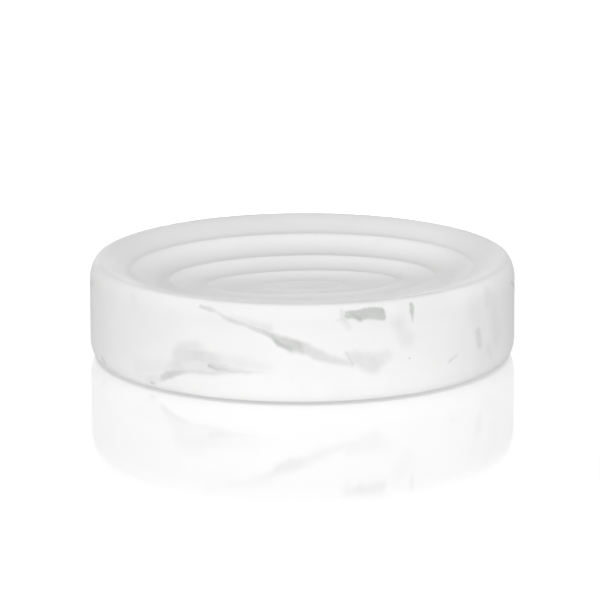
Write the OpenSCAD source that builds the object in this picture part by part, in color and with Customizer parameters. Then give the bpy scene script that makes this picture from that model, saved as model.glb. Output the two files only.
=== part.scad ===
/* [Dish] */
// Outside diameter of the round dish
dish_diameter = 110; // [108:1:120]
// Height from the counter to the top of the rim
dish_height = 25.3; // [20:0.1:32]
// Height of the underside above the counter, where only the bumpers touch
base_gap = 0.4; // [0.3:0.1:0.8]

/* [Base] */
// How far the soft bottom edge leans in, from the wall to the foot
base_lean = 1.6; // [1.2:0.1:2.2]
// Radius of the tight rounding at the foot
base_foot_round = 0.6; // [0.4:0.1:1]
// Radius of the wide arc that runs from the wall to the foot
base_side_round = 8; // [5:0.2:12]

/* [Rim] */
// How far the soft top edge leans in, from the wall to the crest
rim_lean = 2.5; // [1.8:0.1:3]
// Radius of the tight rounding at the crest
rim_crest_round = 1.5; // [1:0.1:1.7]
// Radius of the wide shoulder that runs from the wall to the crest
rim_shoulder_round = 8.4; // [6:0.2:14]
// Width of the level land on the crest
rim_land = 0.5; // [0.4:0.1:0.8]

/* [Ripples] */
// Length of the outermost ripple's crest, along the dish's long direction
ripple_1_length = 88.8; // [84:0.2:92]
// Width of the outermost ripple's crest
ripple_1_width = 77.8; // [76:0.2:84]
// How far the outermost ripple's crest lies below the rim
ripple_1_depth = 2.6; // [1.9:0.1:3]
// Height of the raised lip along the outermost ripple
ripple_1_lip = 0.5; // [0.2:0.05:0.7]
// Length of the second ripple's crest
ripple_2_length = 68.8; // [66:0.2:72]
// Width of the second ripple's crest
ripple_2_width = 50; // [48:0.2:54]
// How far the second ripple's crest lies below the rim
ripple_2_depth = 5.4; // [5:0.1:5.8]
// Height of the raised lip along the second ripple
ripple_2_lip = 0.5; // [0.2:0.05:0.7]
// Length of the third ripple's crest
ripple_3_length = 49.4; // [46:0.2:54]
// Width of the third ripple's crest
ripple_3_width = 26.2; // [24:0.2:30]
// How far the third ripple's crest lies below the rim
ripple_3_depth = 6.8; // [6.4:0.1:7.1]
// Height of the raised lip along the third ripple
ripple_3_lip = 0.5; // [0.2:0.05:0.7]
// Length of the innermost ripple's crest
ripple_4_length = 21.2; // [18:0.2:26]
// Width of the innermost ripple's crest
ripple_4_width = 9.4; // [8:0.2:14]
// How far the innermost ripple's crest lies below the rim
ripple_4_depth = 7.6; // [7.3:0.1:7.8]
// Height of the raised lip along the innermost ripple
ripple_4_lip = 0.2; // [0.05:0.05:0.35]
// How far the middle of the well lies below the rim
well_depth = 7.9; // [7.8:0.1:9]

/* [Bumpers] */
// Diameter of each clear bumper
bumper_diameter = 12; // [9:0.5:14]
// Radius of the rounded edge on the bumper's working face
bumper_round = 0.5; // [0.3:0.1:0.7]
// Distance of the bumpers from the middle of the dish
bumper_reach = 37; // [30:0.5:40]
// Depth of the moulded pocket that each bumper sits in
pocket_depth = 1.2; // [1:0.1:1.6]
// Gap all round between a bumper and its pocket
pocket_clearance = 0.4; // [0.3:0.1:0.6]
// Thickness of the adhesive disc between a bumper and the dish
adhesive_thickness = 0.25; // [0.2:0.05:0.4]
// How far the adhesive disc stops short of the bumper's edge
adhesive_inset = 0.4; // [0.2:0.1:0.8]

/* [Smoothness] */
// Number of points round each ripple
ripple_points = 72; // [48:8:96]

/* [Hidden] */

$fn = 96;
bumper_count = 4;
overrun = 1;

dish_radius = dish_diameter / 2;
crest_radius = dish_radius - rim_lean;
well_radius = crest_radius - rim_land;

// A soft edge has a wide arc, tangent to the wall, and a tight one, tangent to it and to a level
// face. This is how far the tight arc's centre lies beyond the wide arc's.
function edge_rise(lean, tight, wide) = sqrt(pow(wide - tight, 2) - pow(wide - lean, 2));

wall_bottom = base_gap + base_foot_round + edge_rise(base_lean, base_foot_round, base_side_round);
wall_top = dish_height - rim_crest_round - edge_rise(rim_lean, rim_crest_round, rim_shoulder_round);

// One row per crest, from the edge of the land to the middle of the well:
// half length, half width, depth of the terrace there, height of the lip on it.
crests = [
    [well_radius, well_radius, 0, 0],
    [ripple_1_length / 2, ripple_1_width / 2, ripple_1_depth + ripple_1_lip, ripple_1_lip],
    [ripple_2_length / 2, ripple_2_width / 2, ripple_2_depth + ripple_2_lip, ripple_2_lip],
    [ripple_3_length / 2, ripple_3_width / 2, ripple_3_depth + ripple_3_lip, ripple_3_lip],
    [ripple_4_length / 2, ripple_4_width / 2, ripple_4_depth + ripple_4_lip, ripple_4_lip],
    [0, 0, well_depth, 0]
];

// One row per terrace: how steeply it leaves its outer crest and meets its inner one, as
// shares of its mean slope, where a negative share climbs to the next lip, and how far the
// lips at its outer and at its inner crest reach, as shares of the terrace's width.
terrace_shares = [
    [0.8, 0.65, 0.3, 0.1],
    [2.6, -0.2, 0.3, 0.2],
    [2.9, -0.6, 0.28, 0.2],
    [2.9, -1.4, 0.3, 0.2],
    [0.8, 0.25, 0.4, 0.3]
];

// Where the rings of points lie, from one crest to the next.
rim_stations_shares = [0.1, 0.35, 0.6, 0.75, 0.84, 0.91, 0.96, 1];
step_stations_shares = [0.05, 0.11, 0.19, 0.29, 0.41, 0.54, 0.67, 0.79, 0.89, 0.96, 1];
pool_stations_shares = [0.1, 0.25, 0.45, 0.7];

// How gently a terrace leaves its crest, and how blunt the lip on it is, as shares of the
// way to the next crest.
crest_soft_share = 0.08;
lip_blunt_share = 0.03;

terrace_count = len(terrace_shares);

function mix(a, b, t) = a + (b - a) * t;

// A pointed lip that is 1 on the crest and has faded to a third where its reach ends.
function lip(t, reach) =
    exp((lip_blunt_share - sqrt(t * t + pow(lip_blunt_share, 2))) / reach);

// Rounds off the start of a terrace, so that its crest is level.
function softened(t) =
    (sqrt(t * t + pow(crest_soft_share, 2)) - crest_soft_share)
    / (sqrt(1 + pow(crest_soft_share, 2)) - crest_soft_share);

// A cubic curve from 0 to 1 that has the two given slopes at its ends.
function terrace(t, first, last) =
    3 * t * t - 2 * t * t * t
    + first * (t * t * t - 2 * t * t + t)
    + last * (t * t * t - t * t);

// Height of the well's surface between crest k and the next, a share t of the way.
function well_height(k, t) =
    let (shape = terrace_shares[k], outer = crests[k], inner = crests[k + 1])
    dish_height
    - mix(outer[2], inner[2], terrace(softened(t), shape[0], shape[1]))
    + outer[3] * lip(t, shape[2])
    + inner[3] * lip(1 - t, shape[3]);

// An oval of points at one height.
function oval(half_length, half_width, height) = [
    for (i = [0 : ripple_points - 1])
        let (angle = 360 * i / ripple_points)
        [half_length * cos(angle), half_width * sin(angle), height]
];

function well_ring(k, t) = oval(
    mix(crests[k][0], crests[k + 1][0], t),
    mix(crests[k][1], crests[k + 1][1], t),
    well_height(k, t)
);

// The first terrace falls from the rim, and the last is the pool inside the innermost ripple.
function stations(k) =
    k == 0 ? rim_stations_shares
    : k == terrace_count - 1 ? pool_stations_shares
    : step_stations_shares;

// Outline of a soft edge from the axis outwards, with the wall's end at a height of zero.
module soft_edge(lean, tight, wide) {
    rise = edge_rise(lean, tight, wide);
    square([dish_radius - lean, rise + tight]);
    translate([dish_radius - lean, rise])
        circle(r = tight);
    intersection() {
        translate([dish_radius - wide, 0])
            circle(r = wide);
        polygon([
            [dish_radius - wide, 0],
            [dish_radius + wide, 0],
            [dish_radius + wide, 2 * wide * rise / (wide - lean)]
        ]);
    }
}

// Outline of the dish without its well, from the axis to the wall.
module dish_outline() {
    translate([0, wall_bottom])
        mirror([0, 1])
            soft_edge(base_lean, base_foot_round, base_side_round);
    translate([0, wall_bottom])
        square([dish_radius, wall_top - wall_bottom]);
    translate([0, wall_top])
        soft_edge(rim_lean, rim_crest_round, rim_shoulder_round);
}

// The space over the rippled well, closed above the rim.
module well_space() {
    edge_slope = crests[1][2] / (well_radius - (crests[1][0] + crests[1][1]) / 2);
    edge = well_radius + rim_land / 2;
    rings = concat(
        oval(edge, edge, dish_height + overrun),
        oval(edge, edge, dish_height + edge_slope * rim_land / 2),
        [for (k = [0 : terrace_count - 1]) for (t = stations(k)) each well_ring(k, t)],
        [[0, 0, dish_height - well_depth]]
    );
    last = len(rings) - 1;
    rows = last / ripple_points;
    polyhedron(
        points = rings,
        faces = concat(
            [[for (i = [0 : ripple_points - 1]) ripple_points - 1 - i]],
            [for (r = [0 : rows - 2]) for (i = [0 : ripple_points - 1])
                let (a = r * ripple_points + i, b = r * ripple_points + (i + 1) % ripple_points)
                each [[a, b, b + ripple_points], [a, b + ripple_points, a + ripple_points]]],
            [for (i = [0 : ripple_points - 1])
                [last - ripple_points + i, last - ripple_points + (i + 1) % ripple_points, last]]
        ),
        convexity = 6
    );
}

// Repeats its children at one bumper's place under the dish.
module at_bumper(number) {
    rotate([0, 0, 360 * (number - 0.5) / bumper_count])
        translate([bumper_reach, 0, 0])
            children();
}

// Marble-look body, cast in one piece, with a pocket for each bumper.
module dish_body() {
    color("white")
        difference() {
            rotate_extrude()
                intersection() {
                    dish_outline();
                    square([dish_radius, dish_height]);
                }
            well_space();
            for (number = [1 : bumper_count])
                at_bumper(number)
                    cylinder(h = base_gap + pocket_depth, d = bumper_diameter + 2 * pocket_clearance);
        }
}

// Clear soft bumper with a rounded working face.
module bumper(number) {
    height = base_gap + pocket_depth - adhesive_thickness;
    radius = bumper_diameter / 2;
    color("gainsboro", 0.8)
        at_bumper(number)
            rotate_extrude() {
                translate([0, bumper_round])
                    square([radius, height - bumper_round]);
                square([radius - bumper_round, bumper_round]);
                intersection() {
                    translate([radius - bumper_round, bumper_round])
                        circle(r = bumper_round);
                    square([radius, bumper_round]);
                }
            }
}

// Thin adhesive disc that holds a bumper in its pocket.
module adhesive_disc(number) {
    color("ivory")
        at_bumper(number)
            translate([0, 0, base_gap + pocket_depth - adhesive_thickness])
                cylinder(h = adhesive_thickness, d = bumper_diameter - 2 * adhesive_inset);
}

dish_body();
bumper(1);  // bumper_1
bumper(2);  // bumper_2
bumper(3);  // bumper_3
bumper(4);  // bumper_4
adhesive_disc(1);  // adhesive_disc_1
adhesive_disc(2);  // adhesive_disc_2
adhesive_disc(3);  // adhesive_disc_3
adhesive_disc(4);  // adhesive_disc_4
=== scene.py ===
import math

import bpy
import mathutils
import numpy as np
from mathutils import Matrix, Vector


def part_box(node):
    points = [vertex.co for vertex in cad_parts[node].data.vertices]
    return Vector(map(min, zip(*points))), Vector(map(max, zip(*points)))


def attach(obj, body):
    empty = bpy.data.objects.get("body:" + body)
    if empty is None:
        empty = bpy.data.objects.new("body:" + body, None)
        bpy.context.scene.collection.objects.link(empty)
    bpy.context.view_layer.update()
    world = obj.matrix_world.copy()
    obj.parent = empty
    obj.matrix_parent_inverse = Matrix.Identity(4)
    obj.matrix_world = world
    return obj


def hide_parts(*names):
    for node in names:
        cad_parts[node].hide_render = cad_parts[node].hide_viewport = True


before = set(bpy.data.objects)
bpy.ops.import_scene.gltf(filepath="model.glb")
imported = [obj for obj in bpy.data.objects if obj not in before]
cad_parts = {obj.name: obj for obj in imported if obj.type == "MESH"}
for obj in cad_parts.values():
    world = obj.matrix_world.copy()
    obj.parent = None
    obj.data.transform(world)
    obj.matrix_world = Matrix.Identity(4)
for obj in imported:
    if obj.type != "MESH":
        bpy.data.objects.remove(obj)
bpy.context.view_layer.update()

# Sizes of the dish, in metres, as in the solid model
MM = 0.001
BODY_LOW, BODY_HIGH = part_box("dish_body")
DISH_RADIUS = (BODY_HIGH[0] - BODY_LOW[0]) / 2
RIM_HEIGHT = BODY_HIGH[2]
UNDERSIDE = BODY_LOW[2]
BASE_LEAN = 1.6 * MM
BASE_FOOT_ROUND = 0.6 * MM
BASE_SIDE_ROUND = 8.0 * MM
RIM_LEAN = 2.5 * MM
RIM_CREST_ROUND = 1.5 * MM
RIM_SHOULDER_ROUND = 8.4 * MM
RIM_LAND = 0.5 * MM

# Ripples, from the outermost inward: length, width, depth of the crest below the rim, height of the lip
RIPPLES = (
    (88.8 * MM, 77.8 * MM, 2.6 * MM, 0.5 * MM),
    (68.8 * MM, 50.0 * MM, 5.4 * MM, 0.5 * MM),
    (49.4 * MM, 26.2 * MM, 6.8 * MM, 0.5 * MM),
    (21.2 * MM, 9.4 * MM, 7.6 * MM, 0.2 * MM),
)
WELL_DEPTH = 7.9 * MM
CREST_SOFT_SHARE = 0.08
LIP_BLUNT_SHARE = 0.03
# How much of the spacing of a terrace's rings crowds towards its crests
RING_CROWDING = 0.7
# Each terrace's slope at its outer and inner crest, as shares of its mean slope, and how
# far the lips at its outer and inner crest reach, as shares of its own width
TERRACE_SHARES = (
    (0.8, 0.65, 0.3, 0.1),
    (2.6, -0.2, 0.3, 0.2),
    (2.9, -0.6, 0.28, 0.2),
    (2.9, -1.4, 0.3, 0.2),
    (0.8, 0.25, 0.4, 0.3),
)

# Bumpers and their pockets
BUMPERS = ("bumper_1", "bumper_2", "bumper_3", "bumper_4")
ADHESIVES = ("adhesive_disc_1", "adhesive_disc_2", "adhesive_disc_3", "adhesive_disc_4")
POCKET_CLEARANCE = 0.4 * MM
POCKET_LIP_ROUND = 0.25 * MM
BUMPER_ROUND = 0.5 * MM
BUMPER_DISHING = 0.08 * MM
BUMPER_BACK_INSET = 0.1 * MM
# Radii of the rings on a bumper's back, and of the innermost on its working face, as shares
BACK_RING_SHARES = (0.6, 0.2)
FIRST_FACE_SHARE = 0.08

# Colours of the resin, and the share of the white that the full grey takes
STONE_WHITE = (0.929, 0.932, 0.926, 1)
VEIN_GREY = (0.281, 0.3, 0.286, 1)
VEIN_DEPTH = 0.68
# Arc length round the wall, from the front, where the front veins' own finish ends on the left and right
FRONT_LEFT = -76 * MM
FRONT_RIGHT = 66 * MM
# How far the veins' edges wander
VEIN_WANDER = 2.0 * MM

# Painted shade: the front of the dish turns a faint grey towards the rim, standing in for the shade
# there: where it starts in height, where it fades towards the middle of the dish, and its share of the
# full grey at the rim
PAINTED_SHADE_LOW = 17.0 * MM
PAINTED_SHADE_FRONT = -49.0 * MM
PAINTED_SHADE_BACK = -38.0 * MM
PAINTED_SHADE_SHARE = 0.12

# Veins on the wall. Each has the softness of its edge in millimetres and a path of points:
# arc length from the front and height above the counter in millimetres, half width in
# millimetres, and the share of the white that it takes there.
FRONT_VEINS = (
    # Long vein that falls from the rim on the left to a dark knot, and fades to the right
    (0.35, (-32.5, 24.0, 0.4, 0.18), (-30.0, 23.2, 0.45, 0.18), (-28.0, 22.5, 0.3, 0.08),
     (-26.0, 21.9, 0.4, 0.15), (-23.5, 21.2, 0.5, 0.17), (-19.5, 20.0, 0.55, 0.15),
     (-15.5, 18.7, 0.65, 0.22), (-13.5, 17.8, 0.6, 0.32)),
    (0.45, (-13.8, 18.0, 0.5, 0.33), (-10.8, 15.6, 0.7, 0.37), (-8.4, 14.6, 0.9, 0.33)),
    (0.8, (-8.8, 14.9, 1.0, 0.33), (-6.0, 13.9, 1.0, 0.25)),
    (0.8, (-13.5, 18.0, 0.6, 0.22), (-10.0, 16.5, 1.4, 0.28), (-6.9, 15.1, 1.7, 0.29),
     (-5.0, 14.4, 1.5, 0.2)),
    (0.7, (-7.0, 14.8, 1.4, 0.22), (-4.0, 13.9, 1.3, 0.19), (-1.0, 12.6, 1.2, 0.16),
     (3.5, 10.9, 0.9, 0.15), (6.8, 9.8, 0.6, 0.12)),
    (0.9, (-24.0, 21.9, 0.6, 0.05), (-14.5, 19.4, 1.3, 0.1)),
    # Branching vein low on the left, with a broad smudge over it
    (0.6, (-45.4, 2.9, 0.5, 0.1), (-43.9, 3.9, 0.9, 0.24), (-41.9, 5.1, 1.0, 0.26),
     (-39.7, 6.0, 0.9, 0.22), (-35.1, 6.9, 0.65, 0.18), (-25.4, 7.8, 0.45, 0.15),
     (-20.1, 8.0, 0.4, 0.1), (-15.0, 8.1, 0.3, 0.02)),
    (0.4, (-48.3, 1.4, 0.45, 0.22), (-46.9, 1.8, 0.35, 0.12)),
    (1.5, (-43.0, 6.0, 1.0, 0.1), (-38.5, 8.2, 2.2, 0.13), (-33.0, 8.6, 2.2, 0.11),
     (-27.0, 9.0, 1.6, 0.13), (-20.0, 9.1, 1.0, 0.06), (-14.0, 9.0, 0.8, 0.02)),
    (1.4, (-38.5, 10.6, 2.2, 0.14), (-32.5, 10.9, 2.2, 0.17), (-27.5, 10.4, 1.5, 0.14)),
    (1.4, (-38.0, 12.6, 1.3, 0.1), (-33.6, 13.8, 1.2, 0.11), (-31.3, 13.6, 0.9, 0.05)),
    (0.8, (-36.3, 11.8, 0.5, 0.17), (-32.0, 12.0, 0.6, 0.21), (-28.5, 11.7, 0.5, 0.15)),
    (0.5, (-29.8, 9.0, 0.5, 0.32), (-27.0, 8.3, 0.6, 0.26), (-22.0, 8.2, 0.5, 0.17),
     (-14.0, 8.5, 0.4, 0.03)),
    (0.9, (-29.0, 9.3, 1.0, 0.2), (-25.0, 8.9, 0.9, 0.15), (-20.0, 8.8, 0.7, 0.08)),
    (1.6, (-26.5, 10.9, 1.6, 0.08), (-20.0, 10.3, 1.6, 0.08), (-14.0, 9.8, 1.0, 0.05)),
    (2.0, (-52.0, 5.2, 2.2, 0.05), (-44.5, 6.5, 2.0, 0.05)),
    (1.0, (-49.0, 2.4, 1.0, 0.08), (-46.0, 3.4, 1.0, 0.08)),
    # Dark patch under the rim, with a ragged tail to its left
    (0.45, (5.4, 23.3, 0.4, 0.28), (9.0, 23.1, 0.75, 0.31), (14.5, 22.9, 1.05, 0.31)),
    (0.45, (9.6, 22.2, 1.0, 0.32), (14.5, 21.7, 1.0, 0.31)),
    (0.5, (6.3, 22.9, 0.7, 0.3), (8.8, 21.8, 0.9, 0.38)),
    (0.5, (5.6, 22.3, 0.8, 0.27), (7.6, 22.3, 0.9, 0.3)),
    (0.5, (4.3, 23.4, 0.7, 0.1), (4.3, 21.6, 0.7, 0.1)),
    (0.3, (2.8, 21.3, 0.3, 0.08), (4.8, 21.3, 0.4, 0.14)),
    (0.8, (4.9, 20.5, 1.0, 0.08), (5.4, 19.5, 0.8, 0.08)),
    # Short upright vein, and the pale smudge beside it
    (0.3, (23.2, 23.8, 0.65, 0.27), (23.2, 22.0, 0.6, 0.24), (23.2, 19.4, 0.25, 0.12)),
    (1.8, (19.0, 19.4, 1.9, 0.07), (21.4, 15.6, 2.1, 0.07)),
    # Soft cloud where the long vein ends, with a thin dark line in it
    (1.2, (7.0, 11.8, 2.0, 0.12), (12.0, 9.8, 2.4, 0.14), (16.0, 11.8, 1.4, 0.08)),
    (0.45, (5.0, 13.3, 0.35, 0.16), (6.7, 10.0, 0.45, 0.2)),
    (0.8, (5.0, 12.9, 0.8, 0.08), (9.3, 12.4, 1.0, 0.07)),
    # Speck and short stroke
    (0.15, (22.1, 10.2, 0.2, 0.26), (22.3, 10.1, 0.2, 0.26)),
    (0.35, (34.6, 7.4, 0.45, 0.15), (37.4, 8.7, 0.45, 0.08)),
    # Smudges round to the right: the two broad faint ones are painted shade that darkens the wall towards
    # its right side, the others are grey marks in the stone
    (2.5, (44.0, 20.5, 2.5, 0.03), (49.0, 6.0, 3.0, 0.03)),
    (2.6, (53.2, 18.5, 2.4, 0.05), (55.5, 9.5, 2.6, 0.05)),
    (0.9, (45.7, 13.1, 1.3, 0.16), (46.7, 9.6, 1.3, 0.13)),
    (1.2, (50.5, 8.0, 1.4, 0.07), (51.8, 6.0, 1.4, 0.06)),
    (1.3, (50.6, 22.0, 1.8, 0.06), (50.0, 19.5, 1.6, 0.05)),
    # Faint spots round to the left
    (0.9, (-55.2, 23.0, 1.0, 0.04), (-54.2, 22.0, 1.0, 0.04)),
    (0.8, (-72.0, 2.9, 0.7, 0.13), (-70.5, 2.6, 0.7, 0.13)),
)

# The same for the sides and the back, which are guessed
BACK_VEINS = (
    # Right side
    (0.4, (68.5, 21.0, 0.4, 0.14), (80.0, 16.0, 0.6, 0.2), (87.0, 11.0, 1.2, 0.28),
     (91.0, 8.5, 1.5, 0.26), (101.0, 5.0, 0.7, 0.12), (112.0, 4.5, 0.4, 0.04)),
    (1.3, (84.0, 18.5, 2.0, 0.09), (93.0, 20.0, 1.4, 0.06)),
    # Back
    (0.35, (117.0, 13.5, 0.3, 0.14), (122.0, 14.8, 1.3, 0.3), (130.0, 14.4, 1.7, 0.32)),
    (0.4, (128.0, 6.0, 0.5, 0.14), (141.0, 9.5, 0.9, 0.24), (152.0, 16.0, 0.5, 0.13),
     (166.0, 18.2, 0.3, 0.05)),
    (1.2, (138.0, 19.0, 1.8, 0.09), (146.0, 21.0, 1.2, 0.05)),
    (0.4, (-168.0, 6.0, 0.4, 0.08), (-155.0, 7.5, 0.8, 0.22), (-147.0, 11.5, 1.6, 0.3),
     (-139.0, 12.0, 0.9, 0.15), (-124.0, 17.0, 0.35, 0.06)),
    (1.0, (-150.0, 19.5, 1.2, 0.08), (-141.0, 20.5, 0.8, 0.05)),
    (0.35, (-131.0, 6.5, 0.8, 0.2), (-130.0, 10.0, 0.3, 0.12)),
    # Left side
    (0.4, (-118.0, 21.5, 0.35, 0.12), (-108.0, 17.5, 0.7, 0.2), (-99.0, 14.5, 1.3, 0.27),
     (-88.0, 13.4, 0.5, 0.08)),
    (1.3, (-104.0, 7.0, 2.0, 0.09), (-92.0, 5.5, 1.6, 0.08)),
    (0.9, (-85.0, 20.0, 1.0, 0.07), (-79.5, 21.5, 0.8, 0.05)),
)

# Points round the dish and round a bumper
AROUND = 360
BUMPER_AROUND = 96
# Points along each arc and line of the profiles
WIDE_ARC_POINTS = 14
TIGHT_ARC_POINTS = 13
WALL_POINTS = 12
MOUTH_POINTS = 6
FACE_POINTS = 12
BUMPER_EDGE_POINTS = 9
BUMPER_SIDE_POINTS = 5
# Rings of points on each terrace of the well, from the outermost inward
TERRACE_RINGS = (26, 42, 42, 42, 26)

# A noise's middle value, and the span in which most of its values lie
NOISE_MIDDLE = 0.5
NOISE_LOW = 0.3
NOISE_HIGH = 0.7
# The resin's noises: scale per metre, detail, roughness and distortion
WANDER_NOISE = (190.0, 3, 0.5, 0.0)
MOTTLE_NOISE = (380.0, 3, 0.5, 0.0)
CLOUD_NOISE = (38.0, 4, 0.55, 0.6)
HAIRLINE_NOISE = (19.0, 3, 0.5, 0.4)
BREAK_NOISE = (55.0, 2, 0.5, 0.0)
FINE_NOISE = (900.0, 3, 0.6, 0.0)
# Hairlines: their share of the full grey, how far from its middle value the noise still gives a
# full one and any, and the span of the second noise over which a broken one comes back
HAIRLINE_SHARE = 0.12
HAIRLINE_CORE = 0.003
HAIRLINE_EDGE = 0.018
HAIRLINE_GONE = 0.48
HAIRLINE_WHOLE = 0.66
# Clouds: their share of the full grey, and the span of the noise over which they thicken
CLOUD_SHARE = 0.03
CLOUD_NONE = 0.35
CLOUD_FULL = 0.7
# What the mottle multiplies the veins by
MOTTLE_LEAST = 0.86
MOTTLE_MOST = 1.1
# The resin's satin: roughness in the clouds' low and high places, what the fine grain adds to it,
# the depth of the grain and the level of the reflection
SATIN_LEAST = 0.40
SATIN_MOST = 0.50
FINE_ROUGHNESS = 0.06
FINE_DEPTH = 0.006 * MM
SPECULAR_LEVEL = 0.02
# Where the veins fade out on the shoulder, as radii, and how far behind the dish's middle the
# hairlines start and are full
VEINS_FADE_INNER = DISH_RADIUS - RIM_LEAN - 0.6 * MM
VEINS_FADE_OUTER = DISH_RADIUS - RIM_LEAN + 0.9 * MM
HAIRLINES_FROM = 2 * MM
HAIRLINES_FULL = 20 * MM

# The clear rubber and the adhesive film
RUBBER_DULL = (0.84, 0.86, 0.86, 1)
RUBBER_CLEAR = (0.9, 0.91, 0.91, 1)
RUBBER_ROUGHNESS = (0.22, 0.34)
RUBBER_TRANSMISSION = 0.4
RUBBER_IOR = 1.41
HAZE_NOISE = (260.0, 3, 0.55, 0.0)
PIT_NOISE = (2400.0, 2, 0.5, 0.0)
PIT_DEPTH = 0.01 * MM
FILM_DULL = (0.86, 0.84, 0.76, 1)
FILM_CLEAR = (0.93, 0.92, 0.87, 1)
FILM_ROUGHNESS = (0.55, 0.75)
FIBRE_TURN = math.radians(25)
FIBRE_STRETCH = 6.0
FIBRE_NOISE = (700.0, 3, 0.6, 0.8)
FIBRE_DULL = 0.35
FIBRE_CLEAR = 0.65
FIBRE_DEPTH = 0.02 * MM

# The floor: half its side, its colour for the light that it sends back, and what the camera
# sees of it, which is a little of its shading, an even level and a faint mirror image
FLOOR_HALF = 3.0
FLOOR_COLOUR = (0.8, 0.8, 0.8, 1)
FLOOR_SEEN_COLOUR = (0.06, 0.06, 0.06, 1)
FLOOR_LEVEL = 0.57
FLOOR_GLOSS = (0.4, 0.4, 0.4, 1)
FLOOR_GLOSS_ROUGHNESS = 0.08

# The camera, fitted to the photograph's outlines
IMAGE_SIZE = 600
CAMERA_DISTANCE = 1200 * MM
CAMERA_ELEVATION = math.radians(13.57)
CAMERA_AZIMUTH = math.radians(-6.0)
CAMERA_ROLL = math.radians(-0.229)
PIXELS_PER_METRE = 3853.0
DISH_CENTRE_PIXEL = (302.3, 304.0)
SENSOR_WIDTH = 36.0
CAMERA_REACH = 20.0

# Studio lamps: distance from the dish and size
SOFTBOX_DISTANCE = 1.7
SOFTBOX_WIDTH = 0.9
SOFTBOX_HEIGHT = 0.5
# Name, degrees round from the front, degrees up, and watts
SOFTBOXES = (
    ("far_left_softbox", -80, 15, 6.0),
    ("left_softbox", -55, 15, 3.3),
    ("front_left_softbox", -25, 15, 8.0),
    ("front_right_softbox", 25, 15, 6.8),
    ("right_softbox", 55, 30, 7.8),
    ("overhead_softbox", 0, 88, 10.1),
    ("back_softbox", 180, 3, 7.0),
)


def arc(centre_r, centre_z, radius, start, end, count):
    """Points on a circle in the profile's plane, from one angle to another in degrees."""
    angle = np.radians(np.linspace(start, end, count))
    return centre_r + radius * np.cos(angle), centre_z + radius * np.sin(angle)


def soft_edge(lean, tight, wide):
    """Radius, and rise above the wall's end, of a wide arc tangent to the wall and a tight arc
    tangent to it and to a level face."""
    reach = wide - lean
    rise = math.sqrt((wide - tight) ** 2 - reach ** 2)
    turn = math.degrees(math.atan2(rise, reach))
    side = arc(DISH_RADIUS - wide, 0, wide, 0, turn, WIDE_ARC_POINTS)
    end = arc(DISH_RADIUS - lean, rise, tight, turn, 90, TIGHT_ARC_POINTS)
    return np.concatenate([side[0], end[0][1:]]), np.concatenate([side[1], end[1][1:]])


def outer_profile():
    """Radius and height from the underside's edge, up the wall and over the rim to the land.

    An upright wall between two soft edges, as in the solid model."""
    base_r, base_rise = soft_edge(BASE_LEAN, BASE_FOOT_ROUND, BASE_SIDE_ROUND)
    rim_r, rim_rise = soft_edge(RIM_LEAN, RIM_CREST_ROUND, RIM_SHOULDER_ROUND)
    wall_bottom = UNDERSIDE + base_rise[-1]
    wall_top = RIM_HEIGHT - rim_rise[-1]
    wall_z = np.linspace(wall_bottom, wall_top, WALL_POINTS)[1:-1]
    radius = np.concatenate([base_r[::-1], np.full_like(wall_z, DISH_RADIUS), rim_r])
    height = np.concatenate([(wall_bottom - base_rise)[::-1], wall_z, wall_top + rim_rise])
    return radius, height


def lip(t, reach):
    """A pointed lip: one on a crest, a third of it where its reach ends, and a little blunt."""
    return np.exp((LIP_BLUNT_SHARE - np.sqrt(t * t + LIP_BLUNT_SHARE ** 2)) / reach)


def softened(t):
    """A hyperbola through 0 and 1 that starts level, so that a terrace leaves its crest gently."""
    soft = CREST_SOFT_SHARE
    return (np.sqrt(t * t + soft * soft) - soft) / (math.sqrt(1 + soft * soft) - soft)


def terrace(t, first, last):
    """A cubic from 0 to 1 with the two given slopes at its ends."""
    return (3 * t ** 2 - 2 * t ** 3
            + first * (t ** 3 - 2 * t ** 2 + t)
            + last * (t ** 3 - t ** 2))


def well_rows():
    """Half length, half width and height of every ring of points, from the land to the middle.

    Between two crests the ovals' half axes are mixed evenly and the depth follows the
    terrace curve, and each crest carries a low pointed lip."""
    land = DISH_RADIUS - RIM_LEAN - RIM_LAND
    crests = [(land, land, 0, 0)]
    crests += [(length / 2, width / 2, depth + rise, rise) for length, width, depth, rise in RIPPLES]
    crests += [(0, 0, WELL_DEPTH, 0)]
    rows = [np.array([[land, land, RIM_HEIGHT]])]
    for k, (first, last, outer_lip, inner_lip) in enumerate(TERRACE_SHARES):
        outer = crests[k]
        inner = crests[k + 1]
        even = np.linspace(0, 1, TERRACE_RINGS[k] + 1)[1:]
        crowded = 0.5 * (1 - np.cos(math.pi * even))
        t = RING_CROWDING * crowded + (1 - RING_CROWDING) * even
        depth = outer[2] + (inner[2] - outer[2]) * terrace(softened(t), first, last)
        lips = outer[3] * lip(t, outer_lip) + inner[3] * lip(1 - t, inner_lip)
        rows.append(np.stack([
            outer[0] + (inner[0] - outer[0]) * t,
            outer[1] + (inner[1] - outer[1]) * t,
            RIM_HEIGHT - depth + lips,
        ], axis=1))
    return np.concatenate(rows)


def ring_grid(half_lengths, half_widths, heights, around):
    """Points of level ovals, one row each, as an array of rows by points by three."""
    angle = np.linspace(0, 2 * math.pi, around, endpoint=False)
    x = np.outer(half_lengths, np.cos(angle))
    y = np.outer(half_widths, np.sin(angle))
    z = np.repeat(np.asarray(heights)[:, None], around, axis=1)
    return np.stack([x, y, z], axis=2)


def grid_faces(rows, around, first=0):
    """Quads between neighbouring rings, facing away from the axis when the rings go up."""
    r, i = np.meshgrid(np.arange(rows - 1), np.arange(around), indexing="ij")
    a = first + r * around + i
    b = first + r * around + (i + 1) % around
    return np.stack([a, b, b + around, a + around], axis=2).reshape(-1, 4)


def fan_faces(ring_first, around, middle):
    """Triangles from one ring to its middle point, in the ring's own direction."""
    i = np.arange(around)
    return np.stack([ring_first + i, ring_first + (i + 1) % around, np.full(around, middle)], axis=1)


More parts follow.
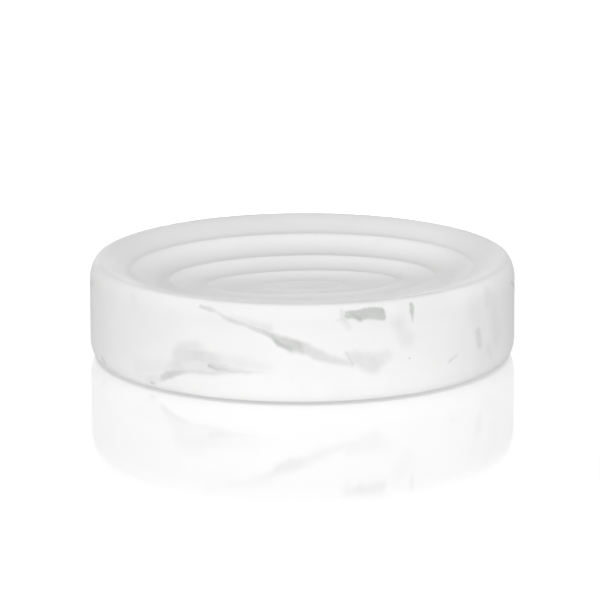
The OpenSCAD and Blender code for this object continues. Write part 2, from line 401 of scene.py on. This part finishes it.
def make_piece(name, points, quads, triangles, flat_from, stands_for):
    """Puts points and faces into a smooth mesh object that stands for one solid of the frame.

    Triangles from number flat_from onwards are shaded flat."""
    mesh = bpy.data.meshes.new(name)
    mesh.from_pydata(points.tolist(), [], quads.tolist() + triangles.tolist())
    smooth = np.ones(len(mesh.polygons), dtype=bool)
    smooth[len(quads) + flat_from:] = False
    mesh.polygons.foreach_set("use_smooth", smooth)
    mesh.validate()
    mesh.update()
    piece = bpy.data.objects.new(name, mesh)
    bpy.context.scene.collection.objects.link(piece)
    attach(piece, "root")
    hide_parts(stands_for)
    return piece


def pocket_places():
    """Centre and ceiling of each pocket, and its radius, from the bumpers' own boxes."""
    places = []
    for bumper, adhesive in zip(BUMPERS, ADHESIVES):
        low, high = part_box(bumper)
        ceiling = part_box(adhesive)[1][2]
        radius = (high[0] - low[0]) / 2 + POCKET_CLEARANCE
        places.append(((low[0] + high[0]) / 2, (low[1] + high[1]) / 2, ceiling, radius))
    return places


def pocket_rings(x, y, ceiling, radius):
    """Rings of one pocket, from its rounded mouth in the underside up its side to the ceiling's edge."""
    mouth = arc(radius + POCKET_LIP_ROUND, UNDERSIDE + POCKET_LIP_ROUND, POCKET_LIP_ROUND, 270, 180,
                MOUTH_POINTS)
    profile_r = np.concatenate([mouth[0], [radius, radius]])
    profile_z = np.concatenate([mouth[1], [(ceiling + UNDERSIDE) / 2, ceiling]])
    return ring_grid(profile_r, profile_r, profile_z, BUMPER_AROUND) + np.array([x, y, 0])


def underside_faces(points, loops):
    """Triangles that fill the flat underside between its outline and the mouths of the pockets."""
    order = np.concatenate(loops)
    outlines = [[mathutils.Vector(point) for point in points[loop]] for loop in loops]
    corners = order[np.array(mathutils.geometry.tessellate_polygon(outlines))]
    sides = points[corners[:, 1:]] - points[corners[:, :1]]
    facing_up = np.cross(sides[:, 0], sides[:, 1])[:, 2] > 0
    corners[facing_up] = corners[facing_up][:, ::-1]
    return corners


def build_body():
    """The whole casting: wall, rim and rippled well as one grid, and a flat underside with pockets."""
    radius, height = outer_profile()
    well = well_rows()
    lengths = np.concatenate([radius, well[:-1, 0]])
    widths = np.concatenate([radius, well[:-1, 1]])
    heights = np.concatenate([height, well[:-1, 2]])
    rows = len(lengths)
    middle = rows * AROUND
    points = [ring_grid(lengths, widths, heights, AROUND).reshape(-1, 3), np.array([[0, 0, well[-1, 2]]])]
    quads = [grid_faces(rows, AROUND)]
    triangles = [fan_faces(middle - AROUND, AROUND, middle)]
    loops = [np.arange(AROUND)]
    ceilings = []
    first = middle + 1
    for x, y, ceiling, pocket_radius in pocket_places():
        rings = pocket_rings(x, y, ceiling, pocket_radius)
        centre = first + rings.shape[0] * BUMPER_AROUND
        points += [rings.reshape(-1, 3), np.array([[x, y, ceiling]])]
        quads.append(grid_faces(rings.shape[0], BUMPER_AROUND, first)[:, ::-1])
        ceilings.append(fan_faces(centre - BUMPER_AROUND, BUMPER_AROUND, centre)[:, ::-1])
        loops.append(np.arange(first, first + BUMPER_AROUND))
        first = centre + 1
    points = np.concatenate(points)
    flat_from = len(triangles[0])
    triangles += ceilings + [underside_faces(points, loops)]
    return make_piece("dish_casting", points, np.concatenate(quads), np.concatenate(triangles),
                      flat_from, "dish_body")


def build_bumper(name):
    """A moulded bumper: flat back, upright side, rounded edge and a faintly dished working face.

    The working face rises in its middle by the dishing times one minus the square of the
    radius share, squared, and the back's edge is cut off by a small slope."""
    low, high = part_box(name)
    radius = (high[0] - low[0]) / 2
    centre = np.array([(low[0] + high[0]) / 2, (low[1] + high[1]) / 2, 0])
    share = np.linspace(FIRST_FACE_SHARE, 1, FACE_POINTS)[:-1]
    face_r = share * (radius - BUMPER_ROUND)
    face_z = low[2] + BUMPER_DISHING * (1 - share ** 2) ** 2
    edge = arc(radius - BUMPER_ROUND, low[2] + BUMPER_ROUND, BUMPER_ROUND, -90, 0, BUMPER_EDGE_POINTS)
    side_z = np.linspace(low[2] + BUMPER_ROUND, high[2] - BUMPER_BACK_INSET, BUMPER_SIDE_POINTS)[1:]
    back_r = np.array([radius - BUMPER_BACK_INSET] + [radius * part for part in BACK_RING_SHARES])
    profile_r = np.concatenate([face_r, edge[0], np.full_like(side_z, radius), back_r])
    profile_z = np.concatenate([face_z, edge[1], side_z, np.full_like(back_r, high[2])])
    rows = len(profile_r)
    low_middle = rows * BUMPER_AROUND
    points = np.concatenate([
        ring_grid(profile_r, profile_r, profile_z, BUMPER_AROUND).reshape(-1, 3),
        [[0, 0, low[2] + BUMPER_DISHING], [0, 0, high[2]]],
    ]) + centre
    triangles = np.concatenate([
        fan_faces(low_middle - BUMPER_AROUND, BUMPER_AROUND, low_middle + 1),
        fan_faces(0, BUMPER_AROUND, low_middle)[:, ::-1],
    ])
    return make_piece(name + "_soft", points, grid_faces(rows, BUMPER_AROUND), triangles,
                      len(triangles), name)


def join(tree, value, socket):
    """Sets a socket to a number or a tuple, or links another node's output to it."""
    if isinstance(value, bpy.types.NodeSocket):
        tree.links.new(value, socket)
    else:
        socket.default_value = value


def maths(tree, operation, *values):
    """A Math node whose inputs are numbers or other nodes' outputs; gives its output."""
    made = tree.nodes.new("ShaderNodeMath")
    made.operation = operation
    for socket, value in zip(made.inputs, values):
        join(tree, value, socket)
    return made.outputs[0]


def vectors(tree, operation, first, second, result="Vector"):
    """A Vector Math node with two inputs; gives the named output."""
    made = tree.nodes.new("ShaderNodeVectorMath")
    made.operation = operation
    join(tree, first, made.inputs[0])
    join(tree, second, made.inputs["Scale" if operation == "SCALE" else 1])
    return made.outputs[result]


def spread(tree, value, from_low, from_high, to_low, to_high, smooth=False):
    """A Map Range node from one span to another, straight on past its ends or with soft ends."""
    made = tree.nodes.new("ShaderNodeMapRange")
    made.interpolation_type = "SMOOTHSTEP" if smooth else "LINEAR"
    made.clamp = False
    for socket, given in zip(made.inputs, (value, from_low, from_high, to_low, to_high)):
        join(tree, given, socket)
    return made.outputs[0]


def grain(tree, place, scale, detail, roughness, distortion):
    """A noise texture on the given coordinates; gives its node."""
    made = tree.nodes.new("ShaderNodeTexNoise")
    made.inputs["Scale"].default_value = scale
    made.inputs["Detail"].default_value = detail
    made.inputs["Roughness"].default_value = roughness
    made.inputs["Distortion"].default_value = distortion
    tree.links.new(place, made.inputs["Vector"])
    return made


def tint(tree, share, first, second):
    """Mixes two colours by a share; gives the colour output.

    A Mix node has its colours in its inputs 6 and 7 and in its output 2."""
    made = tree.nodes.new("ShaderNodeMix")
    made.data_type = "RGBA"
    join(tree, share, made.inputs[0])
    join(tree, first, made.inputs[6])
    join(tree, second, made.inputs[7])
    return made.outputs[2]


def relief(tree, height, depth):
    """A Bump node for a height between 0 and 1 that stands for a depth in metres."""
    made = tree.nodes.new("ShaderNodeBump")
    made.inputs["Strength"].default_value = 1.0
    made.inputs["Distance"].default_value = depth
    tree.links.new(height, made.inputs["Height"])
    return made.outputs[0]


def new_material(name):
    """A material with an empty node tree, a principled shader, its output and Object coordinates."""
    material = bpy.data.materials.new(name)
    material.use_nodes = True
    tree = material.node_tree
    tree.nodes.clear()
    shader = tree.nodes.new("ShaderNodeBsdfPrincipled")
    output = tree.nodes.new("ShaderNodeOutputMaterial")
    tree.links.new(shader.outputs[0], output.inputs[0])
    place = tree.nodes.new("ShaderNodeTexCoord").outputs["Object"]
    return material, tree, shader, place


def vein_group():
    """One tapering stretch of a vein, as a node group.

    The distance from the place to the nearest point of the line from start to end is
    compared with a width that runs from the first to the last, with a soft edge. The cover
    times the strength is given on where it is more than what the veins before it gave."""
    group = bpy.data.node_groups.new("vein_stroke", "ShaderNodeTree")
    sockets = group.interface
    for name in ("Place", "Start", "End"):
        sockets.new_socket(name, in_out="INPUT", socket_type="NodeSocketVector")
    for name in ("First Width", "Last Width", "Softness", "First Strength", "Last Strength", "Before"):
        sockets.new_socket(name, in_out="INPUT", socket_type="NodeSocketFloat")
    sockets.new_socket("Cover", in_out="OUTPUT", socket_type="NodeSocketFloat")
    given = group.nodes.new("NodeGroupInput").outputs
    result = group.nodes.new("NodeGroupOutput")
    along = vectors(group, "SUBTRACT", given["End"], given["Start"])
    offset = vectors(group, "SUBTRACT", given["Place"], given["Start"])
    reach = vectors(group, "DOT_PRODUCT", offset, along, "Value")
    whole = vectors(group, "DOT_PRODUCT", along, along, "Value")
    share = maths(group, "DIVIDE", reach, whole)
    share = maths(group, "MAXIMUM", maths(group, "MINIMUM", share, 1.0), 0.0)
    nearest = vectors(group, "SCALE", along, share)
    distance = vectors(group, "DISTANCE", offset, nearest, "Value")
    width = spread(group, share, 0.0, 1.0, given["First Width"], given["Last Width"])
    strength = spread(group, share, 0.0, 1.0, given["First Strength"], given["Last Strength"])
    inner = maths(group, "SUBTRACT", width, given["Softness"])
    outer = maths(group, "ADD", width, given["Softness"])
    cover = spread(group, distance, inner, outer, 1.0, 0.0, smooth=True)
    cover = maths(group, "MULTIPLY", cover, strength)
    group.links.new(maths(group, "MAXIMUM", cover, given["Before"]), result.inputs["Cover"])
    return group


def vein_cover(tree, place, group, veins):
    """The share of full grey, from 0 to 1, that the given veins lay on the outside of the wall.

    Across is the arc length round the wall from the front, up is the height, and both are
    shifted a little by noise so that no edge is straight. The depth, the height and where the
    wall lies come back with it."""
    axes = tree.nodes.new("ShaderNodeSeparateXYZ")
    tree.links.new(place, axes.inputs[0])
    x, y, z = axes.outputs
    angle = maths(tree, "ARCTAN2", x, maths(tree, "MULTIPLY", y, -1.0))
    flat = tree.nodes.new("ShaderNodeCombineXYZ")
    tree.links.new(maths(tree, "MULTIPLY", angle, DISH_RADIUS), flat.inputs[0])
    tree.links.new(z, flat.inputs[1])
    wander = vectors(tree, "SUBTRACT", grain(tree, place, *WANDER_NOISE).outputs["Color"],
                     (NOISE_MIDDLE, NOISE_MIDDLE, NOISE_MIDDLE))
    wander = vectors(tree, "MULTIPLY", wander, (VEIN_WANDER, VEIN_WANDER, 0))
    spot = vectors(tree, "ADD", flat.outputs[0], wander)
    cover = 0.0
    for soft, *path in veins:
        for (x0, z0, width0, strength0), (x1, z1, width1, strength1) in zip(path, path[1:]):
            made = tree.nodes.new("ShaderNodeGroup")
            made.node_tree = group
            settings = (spot, (x0 * MM, z0 * MM, 0), (x1 * MM, z1 * MM, 0), width0 * MM, width1 * MM,
                        soft * MM, strength0 / VEIN_DEPTH, strength1 / VEIN_DEPTH, cover)
            for socket, value in zip(made.inputs, settings):
                join(tree, value, socket)
            cover = made.outputs[0]
    squares = maths(tree, "ADD", maths(tree, "MULTIPLY", x, x), maths(tree, "MULTIPLY", y, y))
    radius = maths(tree, "SQRT", squares)
    on_wall = spread(tree, radius, VEINS_FADE_INNER, VEINS_FADE_OUTER, 0.0, 1.0, smooth=True)
    mottle = grain(tree, place, *MOTTLE_NOISE).outputs["Fac"]
    mottle = spread(tree, mottle, NOISE_LOW, NOISE_HIGH, MOTTLE_LEAST, MOTTLE_MOST)
    cover = maths(tree, "MULTIPLY", maths(tree, "MULTIPLY", cover, mottle), on_wall)
    return cover, y, z, on_wall


def marble_resin(name, group, veins):
    """White mineral-filled resin with soft grey veins through its skin.

    The placed veins lie on the wall. Faint clouds lie all over, painted shade greys the front of
    the dish towards the rim, and thin wandering hairlines, where a broad noise crosses its middle
    value, lie on the back of the wall and underneath."""
    material, tree, shader, place = new_material(name)
    cover, y, z, on_wall = vein_cover(tree, place, group, veins)
    clouds = grain(tree, place, *CLOUD_NOISE).outputs["Fac"]
    streaks = grain(tree, place, *HAIRLINE_NOISE).outputs["Fac"]
    gap = maths(tree, "ABSOLUTE", maths(tree, "SUBTRACT", streaks, NOISE_MIDDLE))
    hairline = spread(tree, gap, HAIRLINE_CORE, HAIRLINE_EDGE, 1.0, 0.0, smooth=True)
    broken = grain(tree, place, *BREAK_NOISE).outputs["Fac"]
    broken = spread(tree, broken, HAIRLINE_GONE, HAIRLINE_WHOLE, 0.0, 1.0, smooth=True)
    behind = spread(tree, y, HAIRLINES_FROM, HAIRLINES_FULL, 0.0, 1.0, smooth=True)
    behind = maths(tree, "MULTIPLY", behind, on_wall)
    below = spread(tree, z, UNDERSIDE, UNDERSIDE + BASE_LEAN, 1.0, 0.0, smooth=True)
    hidden = maths(tree, "MAXIMUM", behind, below)
    hairline = maths(tree, "MULTIPLY", maths(tree, "MULTIPLY", hairline, broken),
                     maths(tree, "MULTIPLY", hidden, HAIRLINE_SHARE))
    grey = maths(tree, "MAXIMUM", cover, hairline)
    cloudy = spread(tree, clouds, CLOUD_NONE, CLOUD_FULL, 0.0, CLOUD_SHARE, smooth=True)
    # Painted shade: the front grows greyer from the set height up to the rim
    painted_rim_shade = maths(tree, "MULTIPLY", spread(tree, z, PAINTED_SHADE_LOW, RIM_HEIGHT, 0.0, PAINTED_SHADE_SHARE, smooth=True),
                 spread(tree, y, PAINTED_SHADE_FRONT, PAINTED_SHADE_BACK, 1.0, 0.0, smooth=True))
    grey = maths(tree, "ADD", grey, maths(tree, "ADD", cloudy, painted_rim_shade))
    colour = tint(tree, grey, STONE_WHITE, VEIN_GREY)
    tree.links.new(colour, shader.inputs["Base Color"])
    fine = grain(tree, place, *FINE_NOISE).outputs["Fac"]
    satin = spread(tree, clouds, NOISE_LOW, NOISE_HIGH, SATIN_LEAST, SATIN_MOST)
    uneven = maths(tree, "MULTIPLY", maths(tree, "SUBTRACT", fine, NOISE_MIDDLE), FINE_ROUGHNESS)
    tree.links.new(maths(tree, "ADD", satin, uneven), shader.inputs["Roughness"])
    shader.inputs["Specular IOR Level"].default_value = SPECULAR_LEVEL
    tree.links.new(relief(tree, fine, FINE_DEPTH), shader.inputs["Normal"])
    return material


def clear_bumper():
    """Clear soft rubber: a little cloudy, with a fine moulded texture."""
    material, tree, shader, place = new_material("clear_bumper")
    haze = grain(tree, place, *HAZE_NOISE).outputs["Fac"]
    colour = tint(tree, spread(tree, haze, NOISE_LOW, NOISE_HIGH, 0.0, 1.0), RUBBER_DULL, RUBBER_CLEAR)
    tree.links.new(colour, shader.inputs["Base Color"])
    satin = spread(tree, haze, NOISE_LOW, NOISE_HIGH, *RUBBER_ROUGHNESS)
    tree.links.new(satin, shader.inputs["Roughness"])
    shader.inputs["Transmission Weight"].default_value = RUBBER_TRANSMISSION
    shader.inputs["IOR"].default_value = RUBBER_IOR
    pits = grain(tree, place, *PIT_NOISE).outputs["Fac"]
    tree.links.new(relief(tree, pits, PIT_DEPTH), shader.inputs["Normal"])
    return material


def adhesive():
    """Milky adhesive film with short fibres pressed into it."""
    material, tree, shader, place = new_material("adhesive")
    lie = tree.nodes.new("ShaderNodeMapping")
    lie.inputs["Scale"].default_value = (1.0, FIBRE_STRETCH, 1.0)
    lie.inputs["Rotation"].default_value = (0, 0, FIBRE_TURN)
    tree.links.new(place, lie.inputs["Vector"])
    fibres = grain(tree, lie.outputs[0], *FIBRE_NOISE).outputs["Fac"]
    colour = tint(tree, spread(tree, fibres, FIBRE_DULL, FIBRE_CLEAR, 0.0, 1.0), FILM_DULL, FILM_CLEAR)
    tree.links.new(colour, shader.inputs["Base Color"])
    satin = spread(tree, fibres, NOISE_LOW, NOISE_HIGH, *FILM_ROUGHNESS)
    tree.links.new(satin, shader.inputs["Roughness"])
    tree.links.new(relief(tree, fibres, FIBRE_DEPTH), shader.inputs["Normal"])
    return material


def dress(piece, *materials):
    """Gives a piece its materials."""
    piece.data.materials.clear()
    for material in materials:
        piece.data.materials.append(material)


def dress_body(body):
    """Dresses the casting in its front and back finish, which meet where neither has a vein."""
    group = vein_group()
    dress(body, marble_resin("marble_resin_front", group, FRONT_VEINS),
          marble_resin("marble_resin_back", group, BACK_VEINS))
    centres = np.empty(len(body.data.polygons) * 3)
    body.data.polygons.foreach_get("center", centres)
    x, y = centres.reshape(-1, 3)[:, :2].T
    across = DISH_RADIUS * np.arctan2(x, -y)
    behind = (across < FRONT_LEFT) | (across > FRONT_RIGHT)
    body.data.polygons.foreach_set("material_index", behind.astype(np.int32))


def build_floor():
    """A pale floor that keeps the shadow and a faint mirror image of the dish."""
    half = FLOOR_HALF
    points = [(-half, -half, 0), (half, -half, 0), (half, half, 0), (-half, half, 0)]
    mesh = bpy.data.meshes.new("floor")
    mesh.from_pydata(points, [], [(0, 1, 2, 3)])
    floor = bpy.data.objects.new("floor", mesh)
    bpy.context.scene.collection.objects.link(floor)
    material = bpy.data.materials.new("pale_floor")
    material.use_nodes = True
    tree = material.node_tree
    tree.nodes.clear()
    output = tree.nodes.new("ShaderNodeOutputMaterial")
    plain = tree.nodes.new("ShaderNodeBsdfDiffuse")
    plain.inputs["Color"].default_value = FLOOR_COLOUR
    seen = tree.nodes.new("ShaderNodeBsdfDiffuse")
    seen.inputs["Color"].default_value = FLOOR_SEEN_COLOUR
    lift = tree.nodes.new("ShaderNodeEmission")
    lift.inputs["Strength"].default_value = FLOOR_LEVEL
    gloss = tree.nodes.new("ShaderNodeBsdfGlossy")
    gloss.inputs["Color"].default_value = FLOOR_GLOSS
    gloss.inputs["Roughness"].default_value = FLOOR_GLOSS_ROUGHNESS
    first = tree.nodes.new("ShaderNodeAddShader")
    second = tree.nodes.new("ShaderNodeAddShader")
    tree.links.new(seen.outputs[0], first.inputs[0])
    tree.links.new(lift.outputs[0], first.inputs[1])
    tree.links.new(first.outputs[0], second.inputs[0])
    tree.links.new(gloss.outputs[0], second.inputs[1])
    path = tree.nodes.new("ShaderNodeLightPath")
    mix = tree.nodes.new("ShaderNodeMixShader")
    tree.links.new(path.outputs["Is Camera Ray"], mix.inputs[0])
    tree.links.new(plain.outputs[0], mix.inputs[1])
    tree.links.new(second.outputs[0], mix.inputs[2])
    tree.links.new(mix.outputs[0], output.inputs[0])
    dress(floor, material)


def build_world():
    """A white backdrop for the camera, for gloss and through clear rubber. It sheds no other light."""
    world = bpy.data.worlds.new("studio")
    bpy.context.scene.world = world
    world.use_nodes = True
    tree = world.node_tree
    tree.nodes.clear()
    output = tree.nodes.new("ShaderNodeOutputWorld")
    back = tree.nodes.new("ShaderNodeBackground")
    path = tree.nodes.new("ShaderNodeLightPath")
    seen = maths(tree, "MAXIMUM", path.outputs["Is Camera Ray"], path.outputs["Is Glossy Ray"])
    seen = maths(tree, "MAXIMUM", seen, path.outputs["Is Transmission Ray"])
    back.inputs["Color"].default_value = (1, 1, 1, 1)
    tree.links.new(seen, back.inputs["Strength"])
    tree.links.new(back.outputs[0], output.inputs[0])


def softbox(name, azimuth, elevation, watts):
    """A rectangular area lamp aimed at the dish, placed by degrees round from the front and up."""
    turn, rise = math.radians(azimuth), math.radians(elevation)
    place = mathutils.Vector((
        math.sin(turn) * math.cos(rise), -math.cos(turn) * math.cos(rise), math.sin(rise)))
    lamp = bpy.data.lights.new(name, "AREA")
    lamp.shape = "RECTANGLE"
    lamp.size = SOFTBOX_WIDTH
    lamp.size_y = SOFTBOX_HEIGHT
    lamp.energy = watts
    made = bpy.data.objects.new(name, lamp)
    made.location = place * SOFTBOX_DISTANCE
    aim = mathutils.Vector((0, 0, RIM_HEIGHT)) - made.location
    made.rotation_euler = aim.to_track_quat("-Z", "Y").to_euler()
    bpy.context.scene.collection.objects.link(made)


def camera_axes():
    """Unit vectors to the right, up and backwards of the camera, before its roll."""
    ce, se = math.cos(CAMERA_ELEVATION), math.sin(CAMERA_ELEVATION)
    ca, sa = math.cos(CAMERA_AZIMUTH), math.sin(CAMERA_AZIMUTH)
    back = mathutils.Vector((sa * ce, -ca * ce, se))
    right = mathutils.Vector((ca, sa, 0))
    return right, back.cross(right), back


def build_camera():
    """The photograph's viewpoint: its angles and distance from the fit, and a small shift to frame it."""
    right, up, back = camera_axes()
    turn = CAMERA_ROLL
    rolled_right = right * math.cos(turn) + up * math.sin(turn)
    rolled_up = up * math.cos(turn) - right * math.sin(turn)
    data = bpy.data.cameras.new("photo_camera")
    data.sensor_width = SENSOR_WIDTH
    data.lens = PIXELS_PER_METRE * CAMERA_DISTANCE / IMAGE_SIZE * SENSOR_WIDTH
    data.shift_x = (IMAGE_SIZE / 2 - DISH_CENTRE_PIXEL[0]) / IMAGE_SIZE
    data.shift_y = (DISH_CENTRE_PIXEL[1] - IMAGE_SIZE / 2) / IMAGE_SIZE
    data.clip_end = CAMERA_REACH
    camera = bpy.data.objects.new("photo_camera", data)
    matrix = mathutils.Matrix((rolled_right, rolled_up, back)).transposed().to_4x4()
    matrix.translation = mathutils.Vector((0, 0, RIM_HEIGHT / 2)) + back * CAMERA_DISTANCE
    camera.matrix_world = matrix
    bpy.context.scene.collection.objects.link(camera)
    bpy.context.scene.camera = camera


build_camera()
dress_body(build_body())
soft_rubber = clear_bumper()
film = adhesive()
for bumper, disc in zip(BUMPERS, ADHESIVES):
    dress(build_bumper(bumper), soft_rubber)
    dress(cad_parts[disc], film)
build_floor()
build_world()
for lamp in SOFTBOXES:
    softbox(*lamp)

scene = bpy.context.scene
scene.view_settings.view_transform = "Standard"
